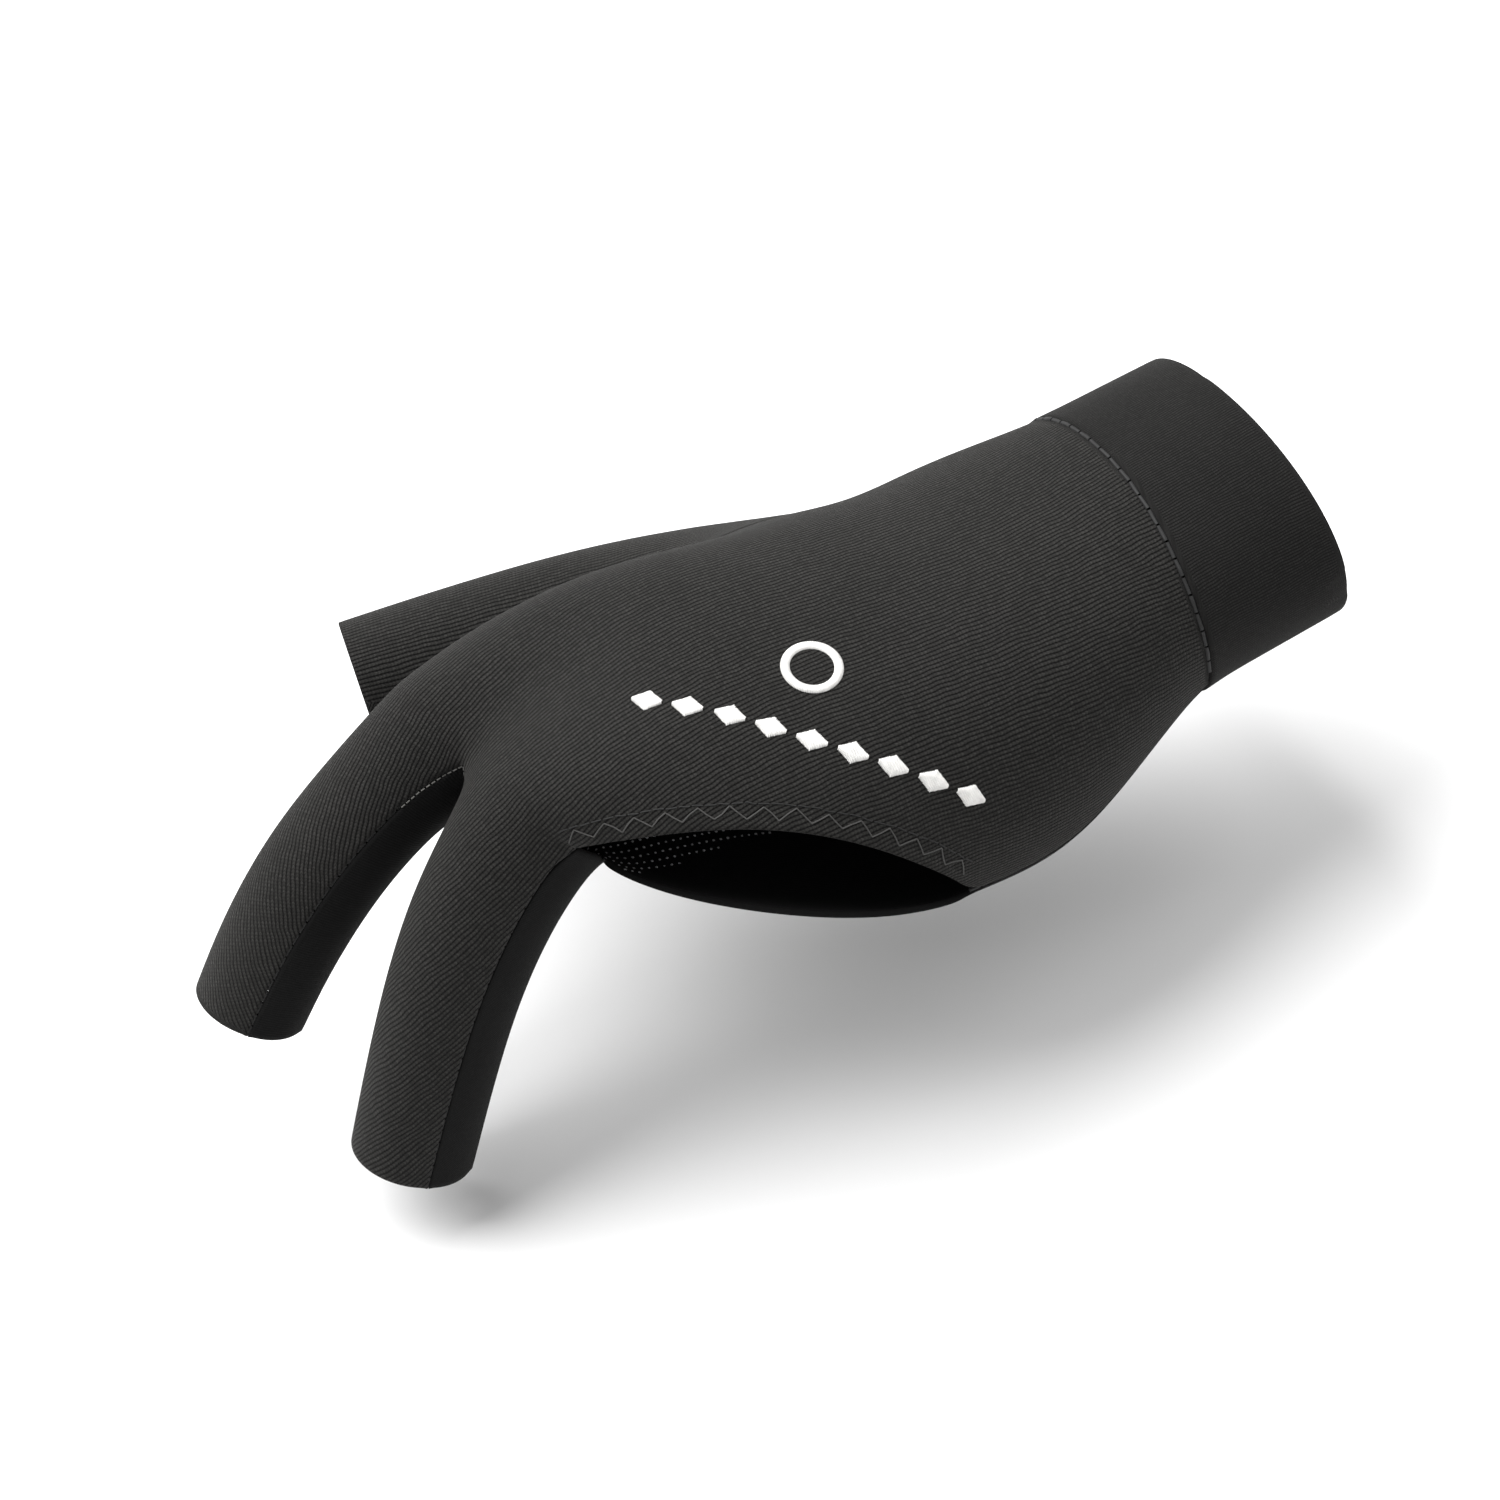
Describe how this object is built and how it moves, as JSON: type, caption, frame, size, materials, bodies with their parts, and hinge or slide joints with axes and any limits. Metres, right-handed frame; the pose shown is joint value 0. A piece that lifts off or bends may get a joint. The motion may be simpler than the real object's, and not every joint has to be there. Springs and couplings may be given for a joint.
{
  "type": "billiard glove",
  "caption": "Fitted left-hand glove for a billiard bridge hand: thumb, index and middle sleeves cut at mid-finger, one open side for the ring and little fingers, folded cuff.",
  "frame": {"origin": "centre of the cuff's mouth, where the wrist goes in", "axes": "+X along the forearm, away from the fingers; +Y to the thumb side; +Z out of the back of the hand"},
  "size_m": [0.1926, 0.1138, 0.0779],
  "materials": {
    "rib_knit": "matt charcoal rib knit",
    "smooth_knit": "matt black smooth stretch knit",
    "cuff_knit": "matt charcoal double knit"
  },
  "bodies": {
    "root": {"back_panel": "rib_knit", "palm_panel": "smooth_knit", "cuff": "cuff_knit", "thumb_sleeve": "rib_knit", "crotch_strip": "smooth_knit", "middle_side_strip": "smooth_knit"}
  },
  "joints": []
}
